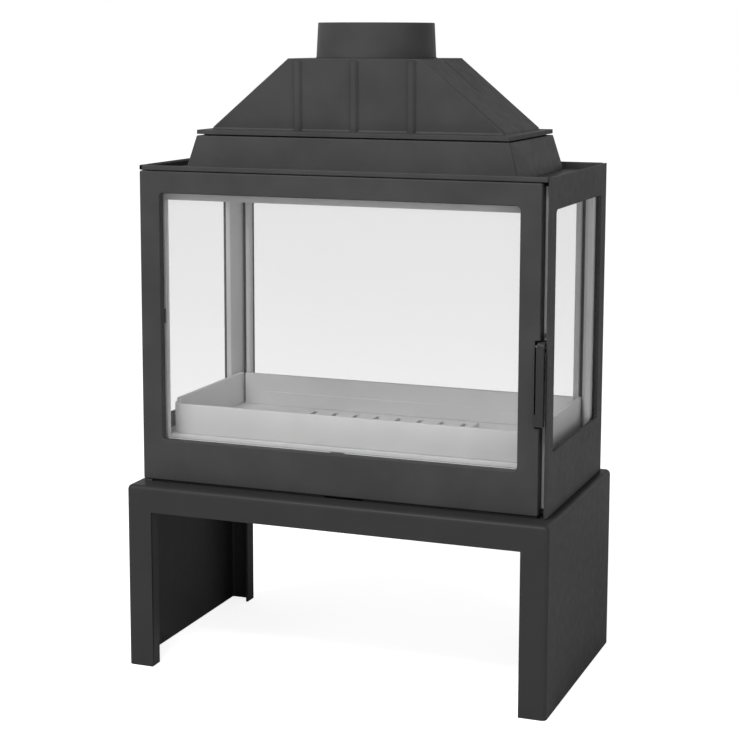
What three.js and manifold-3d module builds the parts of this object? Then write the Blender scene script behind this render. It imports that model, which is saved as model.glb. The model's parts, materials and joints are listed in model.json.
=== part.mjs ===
// A see-through cast-iron fireplace stove: a glazed firebox with a side-hung door, a smoke hood
// and a flue collar, standing on a folded sheet-steel bench.
//
// Millimetres, +Z up. The origin is on the floor at the middle of the bench. The door faces -Y
// and its hinge is on the -X side.

import * as THREE from 'three';
import { mergeVertices } from 'three/addons/utils/BufferGeometryUtils.js';
import Module from 'manifold-3d';

const wasm = await Module();
wasm.setup();

// ---------------------------------------------------------------- driving dimensions

const GAP = 0.3;                    // clearance between pieces that rest on each other
const SHEET = 4;                    // bench sheet, window panes
const PLATE = 5;                    // cast outer plates
const CASTING = 6;                  // thick cast walls

const BENCH_HALF_WIDTH = 364;
const BENCH_HALF_DEPTH = 204;
const BENCH_HEIGHT = 311;
const LEG_WIDTH = 44.7;
const RAIL_HEIGHT = 44.2;
const LIP_DEPTH = 26;
const BOLT_RADIUS = 4;

const BODY_HALF_WIDTH = 350;
const BODY_FRONT = -168.5;
const BODY_REAR = 184.5;
const BODY_MIDDLE = (BODY_FRONT + BODY_REAR) / 2;
const BODY_BOTTOM = BENCH_HEIGHT + GAP;
const BODY_TOP = 843;
const BASE_BOTTOM = 314.7;
const BASE_THICKNESS = 8;
const GUTTER_FLOOR = 832.5;

const DOOR = { left: -350, right: 336, bottom: 315, top: 833.5, thickness: 21.5 };
const DOOR_WINDOW = { x0: -314, x1: 301.5, z0: 384.3, z1: 797.4 };
const HINGE = { x: -343.5, y: BODY_FRONT + 6.5, pin: 3.5 };
const SIDE_WINDOW = { y0: -134.2, y1: 150, z0: 411, z1: 790.6 };
const REAR_WINDOW = { x0: -304, x1: 304, z0: 396, z1: 792 };
const FRONT_OPENING = { x0: -314, x1: 314, z0: 381.3, z1: 785 };
const WINDOW_CORNER = 7;
const PANE_LAP = 5;                 // how far a pane reaches past its window
const PANE_RIM = 3.6;               // rim around the pane's pocket, past the pane

const HEARTH_TOP = 387;
const GUARD_TOP = 443;
const FRONT_GUARD_TOP = 437.5;
const GUARD_LEDGE = 412;
const GUARD_THICKNESS = 8;
const GUARD_BEND = 25;
const GUARD_HALF_WIDTH = 321;
const GUARD_FRONT = -125;
const GUARD_REAR = 158;
const PAN_HALF_WIDTH = 148;
const PAN_FRONT = -83;
const PAN_REAR = 93;

const HOOD_FOOT = { halfX: 286, halfY: 135 };
const HOOD_HEAD = { halfX: 269.4, halfY: 127.8, z: 890.5 };
const FLANGE = { halfX: 268.3, halfY: 128.2, z0: 893, z1: 900 };
const DOME_FOOT = { halfX: 252.6, halfY: 101 };
const DOME_HEAD = { halfX: 116.7, halfY: 102, z: 1017.3 };
const RIB_WIDTH = 12;
const RIB_HEIGHT = 5;
const RIB_SPACING = 98;
const COLLAR = { foot: 99, head: 96.2, wall: 5, top: 1075.3 };

const IRON = { color: 0x3b3b3b, roughness: 0.62, metalness: 0.25 };
const STEEL = { color: 0x363636, roughness: 0.55, metalness: 0.25 };
const INNER_IRON = { color: 0xa4a4a4, roughness: 0.75, metalness: 0.1 };
const FASTENER = { color: 0x6a6a6a, roughness: 0.4, metalness: 0.8 };
const ROPE = { color: 0x2d2d2d, roughness: 0.95, metalness: 0 };
const PANE = { color: 0xe4eaea, roughness: 0.05, metalness: 0, transparent: true, opacity: 0.25 };

const stove = new THREE.Group();

// ---------------------------------------------------------------- solids

function addPiece(name, geometry, finish) {
  const piece = new THREE.Mesh(geometry, new THREE.MeshStandardMaterial(finish));
  piece.name = name;
  stove.add(piece);
}

function toManifold(geometry) {
  const bare = geometry.clone();
  bare.deleteAttribute('normal');
  bare.deleteAttribute('uv');
  const merged = mergeVertices(bare, 1e-4);
  return new wasm.Manifold(new wasm.Mesh({
    numProp: 3,
    vertProperties: new Float32Array(merged.attributes.position.array),
    triVerts: new Uint32Array(merged.index.array),
  }));
}

function toGeometry(manifold) {
  const mesh = manifold.getMesh();
  const geometry = new THREE.BufferGeometry();
  geometry.setAttribute('position', new THREE.BufferAttribute(mesh.vertProperties, 3));
  geometry.setIndex(new THREE.BufferAttribute(mesh.triVerts, 1));
  geometry.computeVertexNormals();
  return geometry;
}

function join(...geometries) {
  const [first, ...others] = geometries.map(toManifold);
  return toGeometry(others.reduce((whole, next) => whole.add(next), first));
}

function cut(geometry, ...tools) {
  const whole = toManifold(geometry);
  return toGeometry(tools.map(toManifold).reduce((rest, tool) => rest.subtract(tool), whole));
}

// Two numbers with the smaller one first.
function ordered(a, b) {
  return a < b ? [a, b] : [b, a];
}

function box(x0, x1, y0, y1, z0, z1) {
  const geometry = new THREE.BoxGeometry(x1 - x0, y1 - y0, z1 - z0);
  return geometry.translate((x0 + x1) / 2, (y0 + y1) / 2, (z0 + z1) / 2);
}

// A rod between two positions along one axis, 'x', 'y' or 'z'; a and b place it on the others.
function rod(axis, from, to, a, b, radius, sides = 20) {
  const geometry = new THREE.CylinderGeometry(radius, radius, to - from, sides);
  const middle = (from + to) / 2;
  if (axis === 'x') return geometry.rotateZ(Math.PI / 2).translate(middle, a, b);
  if (axis === 'y') return geometry.translate(a, middle, b);
  return geometry.rotateX(Math.PI / 2).translate(a, b, middle);
}

// A wedge-sided block: a rectangle at z0 that changes evenly into another one at z1.
function frustum(halfX0, halfY0, z0, halfX1, halfY1, z1) {
  const geometry = new THREE.BoxGeometry(2, 2, 1);
  const position = geometry.attributes.position;
  for (let i = 0; i < position.count; i += 1) {
    const upper = position.getZ(i) > 0;
    const x = position.getX(i) * (upper ? halfX1 : halfX0);
    const y = position.getY(i) * (upper ? halfY1 : halfY0);
    position.setXYZ(i, x, BODY_MIDDLE + y, upper ? z1 : z0);
  }
  return geometry;
}

function outline(points) {
  return new THREE.Shape(points.map(([u, v]) => new THREE.Vector2(u, v)));
}

function roundedRectangle(u0, u1, v0, v1, radius) {
  const shape = new THREE.Shape();
  shape.absarc(u1 - radius, v0 + radius, radius, -Math.PI / 2, 0);
  shape.absarc(u1 - radius, v1 - radius, radius, 0, Math.PI / 2);
  shape.absarc(u0 + radius, v1 - radius, radius, Math.PI / 2, Math.PI);
  shape.absarc(u0 + radius, v0 + radius, radius, Math.PI, Math.PI * 1.5);
  return shape;
}

const PLANES = {
  xy: [new THREE.Vector3(1, 0, 0), new THREE.Vector3(0, 1, 0), new THREE.Vector3(0, 0, 1)],
  xz: [new THREE.Vector3(1, 0, 0), new THREE.Vector3(0, 0, 1), new THREE.Vector3(0, -1, 0)],
  yz: [new THREE.Vector3(0, 1, 0), new THREE.Vector3(0, 0, 1), new THREE.Vector3(1, 0, 0)],
};

// An outline in one plane, as a plate between two positions along that plane's normal axis.
function plate(plane, shape, from, to) {
  const options = { depth: to - from, bevelEnabled: false, curveSegments: 5 };
  const geometry = new THREE.ExtrudeGeometry(shape, options);
  geometry.applyMatrix4(new THREE.Matrix4().makeBasis(...PLANES[plane]));
  if (plane === 'xz') return geometry.translate(0, to, 0);
  if (plane === 'yz') return geometry.translate(from, 0, 0);
  return geometry.translate(0, 0, from);
}

// A hexagon-headed bolt that points up, with its head under z.
function bolt(x, y, z, shankRadius, length) {
  const head = rod('z', z - shankRadius * 1.3, z, x, y, shankRadius * 1.75, 6);
  return join(head, rod('z', z - 1, z + length, x, y, shankRadius, 12));
}

// ---------------------------------------------------------------- bench

const legInner = BENCH_HALF_WIDTH - LEG_WIDTH;
const railBottom = BENCH_HEIGHT - RAIL_HEIGHT;
const benchUnderside = BENCH_HEIGHT - SHEET;
const boltPlaces = [[-300, -112], [300, -112], [-300, 140], [300, 140]];
const BOLT_LENGTH = 18;

// Plates, rails and lips at +y or -y: the sheet from the outer face inwards by some depth.
function atEnd(side, depth) {
  const outer = side * BENCH_HALF_DEPTH;
  return ordered(outer, outer - side * depth);
}

function benchRail(side) {
  const [y0, y1] = atEnd(side, SHEET);
  const face = outline([
    [-legInner, railBottom], [legInner, railBottom],
    [BENCH_HALF_WIDTH, BENCH_HEIGHT], [-BENCH_HALF_WIDTH, BENCH_HEIGHT],
  ]);
  const [lip0, lip1] = atEnd(side, LIP_DEPTH);
  const lip = box(-legInner + PLATE, legInner - PLATE, lip0, lip1, railBottom, railBottom + SHEET);
  return join(plate('xz', face, y0, y1), lip);
}

function buildBenchTop() {
  const sheet = box(-BENCH_HALF_WIDTH, BENCH_HALF_WIDTH, -BENCH_HALF_DEPTH, BENCH_HALF_DEPTH,
    benchUnderside, BENCH_HEIGHT);
  const holes = boltPlaces.map(([x, y]) => rod('z', benchUnderside - 1, BENCH_HEIGHT + 1, x, y,
    BOLT_RADIUS + GAP));
  addPiece('bench_top', cut(join(sheet, benchRail(-1), benchRail(1)), ...holes), STEEL);
}

function legFlange(mirror, side) {
  const [y0, y1] = atEnd(side, SHEET);
  const mitreDrop = 1.5 * GAP;
  const points = [
    [BENCH_HALF_WIDTH, 0], [BENCH_HALF_WIDTH, benchUnderside - GAP],
    [BENCH_HALF_WIDTH - SHEET, benchUnderside - GAP],
    [legInner, railBottom - mitreDrop], [legInner, 0],
  ].map(([x, z]) => [mirror * x, z]);
  const [lip0, lip1] = atEnd(side, LIP_DEPTH);
  const lipX = ordered(mirror * legInner, mirror * (legInner + SHEET));
  const lip = box(...lipX, lip0, lip1, 0, railBottom - mitreDrop);
  return join(plate('xz', outline(mirror > 0 ? points : points.reverse()), y0, y1), lip);
}

function buildBenchSide(name, mirror) {
  const outer = mirror * BENCH_HALF_WIDTH;
  const panelX = ordered(outer, outer - mirror * SHEET);
  const flangeX = ordered(outer, outer - mirror * LEG_WIDTH);
  const top = benchUnderside - GAP;
  const panel = box(...panelX, -BENCH_HALF_DEPTH, BENCH_HALF_DEPTH, 0, top);
  const topFlange = box(...flangeX, -BENCH_HALF_DEPTH + 50, BENCH_HALF_DEPTH - 50, top - SHEET, top);
  addPiece(name, join(panel, topFlange, legFlange(mirror, -1), legFlange(mirror, 1)), STEEL);
}

function buildBench() {
  buildBenchTop();
  buildBenchSide('bench_left_side', -1);
  buildBenchSide('bench_right_side', 1);
  boltPlaces.forEach(([x, y], index) => {
    addPiece(`bench_bolt_${index + 1}`, bolt(x, y, benchUnderside - GAP, BOLT_RADIUS, BOLT_LENGTH),
      FASTENER);
  });
}

// ---------------------------------------------------------------- firebox shell

const innerHalfWidth = BODY_HALF_WIDTH - PLATE - 0.5;
const innerRear = BODY_REAR - PLATE - 0.5;
const doorBack = BODY_FRONT + DOOR.thickness;
const frontFrameFace = doorBack + 1;
const frontFrameRear = BODY_FRONT + 34;
const baseFront = frontFrameRear + 0.5;
const baseWallTop = HEARTH_TOP - CASTING - GAP;
const baseFloor = BASE_BOTTOM + BASE_THICKNESS;
const plinthBottom = BENCH_HEIGHT + GAP;
const PLINTH = { halfWidth: 336, front: doorBack + 0.5, rear: 172, wall: 10 };
const SILL = { halfWidth: 334, front: BODY_FRONT + 5.5, thickness: 2 };
const SLIDE_TRAVEL = 32;
const AIR_TAB = { x0: -22, x1: 10, y: BODY_FRONT + 8 };
const AIR_SLOTS = [-80, -20, 40];
const AIR_SLOT = { width: 30, y0: -120.5, y1: -100.5 };
const BOSS_RADIUS = 10;

function airSlots(z0, z1) {
  return AIR_SLOTS.map((x) => box(x, x + AIR_SLOT.width, AIR_SLOT.y0, AIR_SLOT.y1, z0, z1));
}

// The way that the slide's tab sweeps, as a box between two depths.
function tabWay(y0, y1, z0, z1) {
  return box(AIR_TAB.x0 - 2, AIR_TAB.x1 + SLIDE_TRAVEL + 2, y0, y1, z0, z1);
}

function buildBase() {
  const { halfWidth, front, rear, wall } = PLINTH;
  const floor = box(-innerHalfWidth, innerHalfWidth, frontFrameFace, innerRear, BASE_BOTTOM,
    baseFloor);
  const walls = cut(
    box(-innerHalfWidth, innerHalfWidth, baseFront, innerRear, BASE_BOTTOM, baseWallTop),
    box(-innerHalfWidth + CASTING, innerHalfWidth - CASTING, baseFront + CASTING,
      innerRear - CASTING, baseFloor, baseWallTop + 1),
  );
  const plinth = cut(
    box(-halfWidth, halfWidth, front, rear, plinthBottom, BASE_BOTTOM + GAP),
    box(-halfWidth + wall, halfWidth - wall, front + wall, rear - wall, plinthBottom - 1,
      BASE_BOTTOM + 2),
  );
  const sill = box(-SILL.halfWidth, SILL.halfWidth, SILL.front, front + 1, plinthBottom,
    plinthBottom + SILL.thickness);
  const hingeLug = box(HINGE.x - 5.5, HINGE.x + 8, HINGE.y - 5, front + 1, plinthBottom,
    DOOR.bottom - 0.5);
  const bosses = boltPlaces.map(([x, y]) => rod('z', plinthBottom, baseFloor + 5, x, y,
    BOSS_RADIUS));
  const boltHoles = boltPlaces.map(([x, y]) => rod('z', plinthBottom - 1, baseFloor + 3.5, x, y,
    BOLT_RADIUS + GAP));
  const pinHole = rod('z', plinthBottom - 1, BASE_BOTTOM, HINGE.x, HINGE.y, HINGE.pin + GAP);
  const whole = join(floor, walls, plinth, sill, hingeLug, ...bosses);
  addPiece('firebox_base', cut(whole, ...boltHoles, ...airSlots(BASE_BOTTOM - 1, baseFloor + 1),
    pinHole, tabWay(SILL.front - 1, front + wall + 1, plinthBottom - 1, BASE_BOTTOM)), IRON);
}

// A plate with a window and, on its inner face, a raised rim around the pocket for the pane.
function windowedPlate(plane, face, window, faceFrom, faceTo, rimFrom, rimTo) {
  const grown = (amount, radius) => roundedRectangle(window[0] - amount, window[1] + amount,
    window[2] - amount, window[3] + amount, radius);
  const rim = cut(
    plate(plane, grown(PANE_LAP + PANE_RIM, 3), rimFrom, rimTo),
    plate(plane, grown(PANE_LAP + GAP, 1), rimFrom - 20, rimTo + 20),
  );
  const panel = cut(
    plate(plane, outline(face), faceFrom, faceTo),
    plate(plane, grown(0, WINDOW_CORNER), faceFrom - 1, faceTo + 1),
  );
  return join(panel, rim);
}

function rectangle(u0, u1, v0, v1) {
  return [[u0, v0], [u1, v0], [u1, v1], [u0, v1]];
}

function buildSideFrame(name, mirror) {
  const front = mirror > 0 ? BODY_FRONT : doorBack + 3;
  const face = rectangle(front, BODY_REAR, BODY_BOTTOM, BODY_TOP);
  const window = [SIDE_WINDOW.y0, SIDE_WINDOW.y1, SIDE_WINDOW.z0, SIDE_WINDOW.z1];
  const outer = BODY_HALF_WIDTH;
  const inner = outer - PLATE;
  const rimInner = inner - PLATE;
  const frame = mirror > 0
    ? windowedPlate('yz', face, window, inner, outer, rimInner, inner + 1)
    : windowedPlate('yz', face, window, -outer, -inner, -inner - 1, -rimInner);
  addPiece(name, frame, IRON);
}

function buildRearFrame() {
  const halfWidth = BODY_HALF_WIDTH - PLATE - GAP;
  const face = rectangle(-halfWidth, halfWidth, BODY_BOTTOM, BODY_TOP);
  const window = [REAR_WINDOW.x0, REAR_WINDOW.x1, REAR_WINDOW.z0, REAR_WINDOW.z1];
  const inner = BODY_REAR - PLATE;
  addPiece('rear_frame', windowedPlate('xz', face, window, inner, BODY_REAR, inner - PLATE, inner + 1),
    IRON);
}

const topFloorBottom = GUTTER_FLOOR - PLATE;
const SMOKE_HOLE = { halfX: 250, halfY: 98 };
const rimBottom = DOOR.top + 1.2;

const FLANGE_THICKNESS = 2.9;
const RING_HALF_WIDTH = 334;

// The inner front frame: a thin flange behind the door and a deeper ring round the opening. The
// handle's nose swings into the pocket in the flange.
function buildFrontFrame() {
  const bottom = baseFloor + GAP;
  const top = topFloorBottom - GAP;
  const flangeBack = frontFrameFace + FLANGE_THICKNESS;
  const { x0, x1, z0, z1 } = FRONT_OPENING;
  const flange = cut(
    box(-innerHalfWidth, innerHalfWidth, frontFrameFace, flangeBack, bottom, top),
    box(x0, x1, frontFrameFace - 1, flangeBack + 1, z0, z1),
    box(HANDLE.x0 + 5, innerHalfWidth - GAP, frontFrameFace - 1, flangeBack + 1,
      HANDLE_PIVOT.z - 28, HANDLE_PIVOT.z + 18),
  );
  const ring = cut(
    box(-RING_HALF_WIDTH, RING_HALF_WIDTH, flangeBack - 1, frontFrameRear, bottom, top),
    box(x0, x1, frontFrameFace, frontFrameRear + 1, z0, z1),
  );
  addPiece('front_frame', join(flange, ring), INNER_IRON);
}

function buildTopCasting() {
  const width = innerHalfWidth;
  const smokeHole = box(-SMOKE_HOLE.halfX - 5, SMOKE_HOLE.halfX + 5, BODY_MIDDLE - SMOKE_HOLE.halfY,
    BODY_MIDDLE + SMOKE_HOLE.halfY, topFloorBottom - 1, GUTTER_FLOOR + 1);
  const floor = cut(box(-width, width, frontFrameFace, innerRear, topFloorBottom, GUTTER_FLOOR),
    smokeHole);
  const frontStep = box(-width, width, frontFrameFace, frontFrameFace + PLATE, topFloorBottom,
    rimBottom + 3);
  const frontLedge = box(-width, width, BODY_FRONT + 2, frontFrameFace + PLATE, rimBottom,
    rimBottom + 3);
  const frontUpstand = box(-width, width, BODY_FRONT, BODY_FRONT + PLATE, rimBottom, BODY_TOP);
  const frontCorner = box(-BODY_HALF_WIDTH, -width + 1, BODY_FRONT, doorBack + 2.5, rimBottom,
    BODY_TOP);
  const rearUpstand = box(-width, width, innerRear - PLATE, innerRear, topFloorBottom, BODY_TOP);
  const whole = join(floor, frontStep, frontLedge, frontUpstand, frontCorner, rearUpstand);
  const pinHole = rod('z', rimBottom - 1, BODY_TOP + 1, HINGE.x, HINGE.y, HINGE.pin + GAP);
  addPiece('top_casting', cut(whole, pinHole), IRON);
}

// ---------------------------------------------------------------- panes and their bars

const barTop = topFloorBottom - GAP;
const barBottom = HEARTH_TOP + GAP;

function buildPanes() {
  const sideInner = BODY_HALF_WIDTH - PLATE - GAP - SHEET;
  const { y0, y1, z0, z1 } = SIDE_WINDOW;
  for (const [name, x] of [['left_glass', -sideInner - SHEET], ['right_glass', sideInner]]) {
    addPiece(name, box(x, x + SHEET, y0 - PANE_LAP, y1 + PANE_LAP, z0 - PANE_LAP, z1 + PANE_LAP),
      PANE);
  }
  const rearInner = BODY_REAR - PLATE - GAP - SHEET;
  addPiece('rear_glass', box(REAR_WINDOW.x0 - PANE_LAP, REAR_WINDOW.x1 + PANE_LAP, rearInner,
    rearInner + SHEET, REAR_WINDOW.z0 - PANE_LAP, REAR_WINDOW.z1 + PANE_LAP), PANE);
}

// The upright bars behind the glazed corners: each is one outline in plan, from hearth to top.
const barOuter = BODY_HALF_WIDTH - PLATE - GAP - SHEET - 1;
const barRear = BODY_REAR - 2 * PLATE - GAP;

function buildBar(name, mirror, points) {
  const moved = points.map(([x, y]) => [mirror * x, y]);
  const shape = outline(mirror > 0 ? moved : moved.reverse());
  addPiece(name, plate('xy', shape, barBottom, barTop), INNER_IRON);
}

function buildGlassBars(side, mirror) {
  const frontBack = baseFront + 11.5;
  buildBar(`corner_bar_${side}`, mirror,
    [[barOuter, 138], [barOuter, barRear], [321, barRear], [321, 160], [331, 138]]);
  buildBar(`front_glass_bar_${side}`, mirror,
    [[barOuter, baseFront], [barOuter, frontBack], [334, frontBack], [329, frontBack - 5],
      [329, baseFront]]);
  buildBar(`rear_glass_bar_${side}`, mirror,
    [[313, 165], [313, barRear], [302.5, barRear], [302.5, 168], [305.5, 165]]);
}

// ---------------------------------------------------------------- hood, dome and collar

function buildHood() {
  const wall = CASTING;
  const foot = GUTTER_FLOOR + GAP;
  const shell = cut(
    frustum(HOOD_FOOT.halfX, HOOD_FOOT.halfY, foot, HOOD_HEAD.halfX, HOOD_HEAD.halfY, HOOD_HEAD.z),
    frustum(HOOD_FOOT.halfX - wall, HOOD_FOOT.halfY - wall, foot - GAP,
      HOOD_HEAD.halfX - wall, HOOD_HEAD.halfY - wall, HOOD_HEAD.z - 4),
    frustum(SMOKE_HOLE.halfX, SMOKE_HOLE.halfY, foot, SMOKE_HOLE.halfX, SMOKE_HOLE.halfY,
      HOOD_HEAD.z + 1),
  );
  addPiece('hood_base', shell, IRON);
  const sealBottom = HOOD_HEAD.z + GAP;
  const sealTop = FLANGE.z0 - GAP;
  addPiece('hood_gasket', cut(
    frustum(260, 117, sealBottom, 260, 117, sealTop),
    frustum(252, 109, sealBottom - 1, 252, 109, sealTop + 1),
  ), ROPE);
}

const COLLAR_SEAT = 1.5;            // the low ring on the dome that the collar stands on

function buildDome() {
  const wall = CASTING;
  const outer = frustum(DOME_FOOT.halfX, DOME_FOOT.halfY, FLANGE.z1 - 1, DOME_HEAD.halfX,
    DOME_HEAD.halfY, DOME_HEAD.z);
  const flange = frustum(FLANGE.halfX, FLANGE.halfY, FLANGE.z0, FLANGE.halfX, FLANGE.halfY,
    FLANGE.z1);
  const ribs = [];
  const foot = FLANGE.z1 - 1;
  const head = DOME_HEAD.z - 1;
  for (const side of [-1, 1]) {
    const yFoot = BODY_MIDDLE + side * DOME_FOOT.halfY;
    const yHead = BODY_MIDDLE + side * DOME_HEAD.halfY;
    const faceProfile = [
      [yFoot - side * 3, foot], [yFoot + side * RIB_HEIGHT, foot],
      [yHead + side * RIB_HEIGHT, head - RIB_HEIGHT], [yHead - side * 3, head],
    ];
    const facePoints = side > 0 ? faceProfile : faceProfile.reverse();
    for (const x of [-RIB_SPACING, 0, RIB_SPACING]) {
      ribs.push(plate('yz', outline(facePoints), x - RIB_WIDTH / 2, x + RIB_WIDTH / 2));
    }
    const endProfile = [
      [side * (DOME_FOOT.halfX - 6), foot], [side * (DOME_FOOT.halfX + RIB_HEIGHT + 2), foot],
      [side * (DOME_HEAD.halfX + RIB_HEIGHT + 2), head], [side * (DOME_HEAD.halfX - 6), head],
    ];
    const endPoints = side > 0 ? endProfile : endProfile.reverse();
    ribs.push(plate('xz', outline(endPoints), BODY_MIDDLE - RIB_WIDTH / 2,
      BODY_MIDDLE + RIB_WIDTH / 2));
  }
  const ring = rod('z', DOME_HEAD.z - 1, DOME_HEAD.z + COLLAR_SEAT, 0, BODY_MIDDLE,
    COLLAR.foot + COLLAR_SEAT, 48);
  const hollow = frustum(DOME_FOOT.halfX - wall * 1.5, DOME_FOOT.halfY - wall, FLANGE.z0 - 1,
    DOME_HEAD.halfX - wall * 1.5, DOME_HEAD.halfY - wall, DOME_HEAD.z - wall);
  const mouth = rod('z', DOME_HEAD.z - 20, DOME_HEAD.z + 10, 0, BODY_MIDDLE,
    COLLAR.head - COLLAR.wall, 48);
  addPiece('smoke_dome', cut(join(outer, flange, ring, ...ribs), hollow, mouth), IRON);
}

function buildCollar() {
  const bottom = DOME_HEAD.z + COLLAR_SEAT + GAP;
  const profile = [
    [COLLAR.foot - COLLAR.wall, bottom], [COLLAR.foot, bottom],
    [COLLAR.head, COLLAR.top - 2], [COLLAR.head - 1, COLLAR.top],
    [COLLAR.head - COLLAR.wall, COLLAR.top], [COLLAR.foot - COLLAR.wall, bottom],
  ].map(([r, z]) => new THREE.Vector2(r, z));
  const collar = new THREE.LatheGeometry(profile, 48).rotateX(Math.PI / 2);
  addPiece('flue_collar', collar.translate(0, BODY_MIDDLE, 0), IRON);
}

const BAFFLE = { halfWidth: 320, front: -60, rear: 163, bottom: 801, thickness: 7 };
const BRACKET = { inner: 300, outer: 330, front: -50, rear: 135, sheet: 4 };

function buildBaffle() {
  const { halfWidth, front, rear, bottom, thickness } = BAFFLE;
  addPiece('baffle_plate', box(-halfWidth, halfWidth, front, rear, bottom, bottom + thickness),
    INNER_IRON);
  for (const [name, mirror] of [['baffle_bracket_left', -1], ['baffle_bracket_right', 1]]) {
    const foot = ordered(mirror * BRACKET.inner, mirror * BRACKET.outer);
    const wall = ordered(mirror * (BRACKET.outer - BRACKET.sheet), mirror * BRACKET.outer);
    const ledge = box(...foot, BRACKET.front, BRACKET.rear, bottom - BRACKET.sheet, bottom - GAP);
    const upright = box(...wall, BRACKET.front, BRACKET.rear, bottom - BRACKET.sheet,
      topFloorBottom - GAP);
    addPiece(name, join(ledge, upright), INNER_IRON);
  }
}

// ---------------------------------------------------------------- door

const HANDLE = {
  x0: 331.5, x1: 343.5, front: BODY_FRONT - 6, back: BODY_FRONT + 4, z0: 458, z1: 589.5,
};
const HANDLE_PIVOT = { y: BODY_FRONT + 6, z: 581.5, radius: 2.5 };
const THUMB = { step: 2.5, height: 19 };
const NOTCH = { x0: 327.5, back: BODY_FRONT + 16, z0: 454.5, z1: 592.3 };
const DOOR_PANE = {
  x0: DOOR_WINDOW.x0 - PANE_LAP, x1: DOOR_WINDOW.x1 + PANE_LAP,
  z0: DOOR_WINDOW.z0 - PANE_LAP, z1: DOOR_WINDOW.z1 + PANE_LAP,
};
const PIN_DEPTH = 14;                // how far a hinge pin reaches into the door
const PIVOT_INNER = 316;             // where the handle pin's hole ends in the stile
const PANE_SEAT = doorBack - 9.5;
const CLIP_SEAT = 6.5;
const CLIP_DEPTH = 3;
const GASKET = { x0: -335, x1: 323, z0: 358, z1: 822, width: 8, depth: 5 };

function ringPlate(outer, width, y0, y1) {
  return cut(
    box(outer.x0, outer.x1, y0, y1, outer.z0, outer.z1),
    box(outer.x0 + width, outer.x1 - width, y0 - 1, y1 + 1, outer.z0 + width, outer.z1 - width),
  );
}

function grownBox(area, amount, y0, y1) {
  return box(area.x0 - amount, area.x1 + amount, y0, y1, area.z0 - amount, area.z1 + amount);
}

function buildDoorFrame() {
  const slab = box(HINGE.x - 1, DOOR.right, BODY_FRONT, doorBack, DOOR.bottom, DOOR.top);
  const edge = new THREE.Shape();
  const bend = HINGE.y - BODY_FRONT;
  edge.moveTo(HINGE.x, BODY_FRONT);
  edge.lineTo(HINGE.x, doorBack);
  edge.lineTo(DOOR.left, doorBack - 2.5);
  edge.lineTo(DOOR.left, HINGE.y);
  edge.absarc(HINGE.x, HINGE.y, bend, Math.PI, Math.PI * 1.5);
  const hingeEdge = plate('xy', edge, DOOR.bottom, DOOR.top);
  const window = roundedRectangle(DOOR_WINDOW.x0, DOOR_WINDOW.x1, DOOR_WINDOW.z0, DOOR_WINDOW.z1,
    WINDOW_CORNER);
  const pinHoles = [
    rod('z', DOOR.bottom - 1, DOOR.bottom + PIN_DEPTH + 1, HINGE.x, HINGE.y, HINGE.pin + GAP),
    rod('z', DOOR.top - PIN_DEPTH - 1, DOOR.top + 1, HINGE.x, HINGE.y, HINGE.pin + GAP),
  ];
  const groove = ringPlate(GASKET, GASKET.width, doorBack - GASKET.depth, doorBack + 1);
  const notch = box(NOTCH.x0, DOOR.right + 1, BODY_FRONT - 1, NOTCH.back, NOTCH.z0, NOTCH.z1);
  const pivotHole = rod('x', PIVOT_INNER, NOTCH.x0 + 1, HANDLE_PIVOT.y, HANDLE_PIVOT.z,
    HANDLE_PIVOT.radius + GAP);
  const frame = cut(join(slab, hingeEdge),
    plate('xz', window, BODY_FRONT - 1, doorBack + 1),
    grownBox(DOOR_PANE, GAP, PANE_SEAT, doorBack + 1),
    grownBox(DOOR_PANE, CLIP_SEAT, doorBack - CLIP_DEPTH, doorBack + 1),
    groove, notch, pivotHole, ...pinHoles, ...clipPlaces().map(clipScrewHole));
  addPiece('door_frame', frame, IRON);
}

// The four clips that hold the door pane: one at the middle of each side.
function clipPlaces() {
  const midX = (DOOR_PANE.x0 + DOOR_PANE.x1) / 2;
  const midZ = (DOOR_PANE.z0 + DOOR_PANE.z1) / 2;
  return [
    { x: midX, z: DOOR_PANE.z1, dx: 0, dz: 1 },
    { x: midX, z: DOOR_PANE.z0, dx: 0, dz: -1 },
    { x: DOOR_PANE.x0, z: midZ, dx: -1, dz: 0 },
    { x: DOOR_PANE.x1, z: midZ, dx: 1, dz: 0 },
  ];
}

const SCREW_RADIUS = 1.5;
const SCREW_OFFSET = 3.3;

function clipScrewHole({ x, z, dx, dz }) {
  return rod('y', doorBack - 9, doorBack, x + dx * SCREW_OFFSET, z + dz * SCREW_OFFSET,
    SCREW_RADIUS + GAP, 12);
}

function buildClips() {
  const y0 = doorBack - CLIP_DEPTH + GAP;
  const y1 = doorBack - 1.2;
  clipPlaces().forEach((place, index) => {
    const { x, z, dx, dz } = place;
    const along = 12;
    const reachIn = -5;
    const reachOut = CLIP_SEAT - GAP;
    const xs = dx === 0 ? [x - along, x + along] : ordered(x + dx * reachIn, x + dx * reachOut);
    const zs = dz === 0 ? [z - along, z + along] : ordered(z + dz * reachIn, z + dz * reachOut);
    addPiece(`door_glass_clip_${index + 1}`, cut(box(...xs, y0, y1, ...zs), clipScrewHole(place)),
      FASTENER);
    const sx = x + dx * SCREW_OFFSET;
    const sz = z + dz * SCREW_OFFSET;
    const shank = rod('y', doorBack - 8, y1 + 0.5, sx, sz, SCREW_RADIUS, 12);
    const head = rod('y', y1 + GAP, doorBack + 0.5, sx, sz, 2.8, 12);
    addPiece(`door_clip_screw_${index + 1}`, join(shank, head), FASTENER);
  });
}

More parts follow.
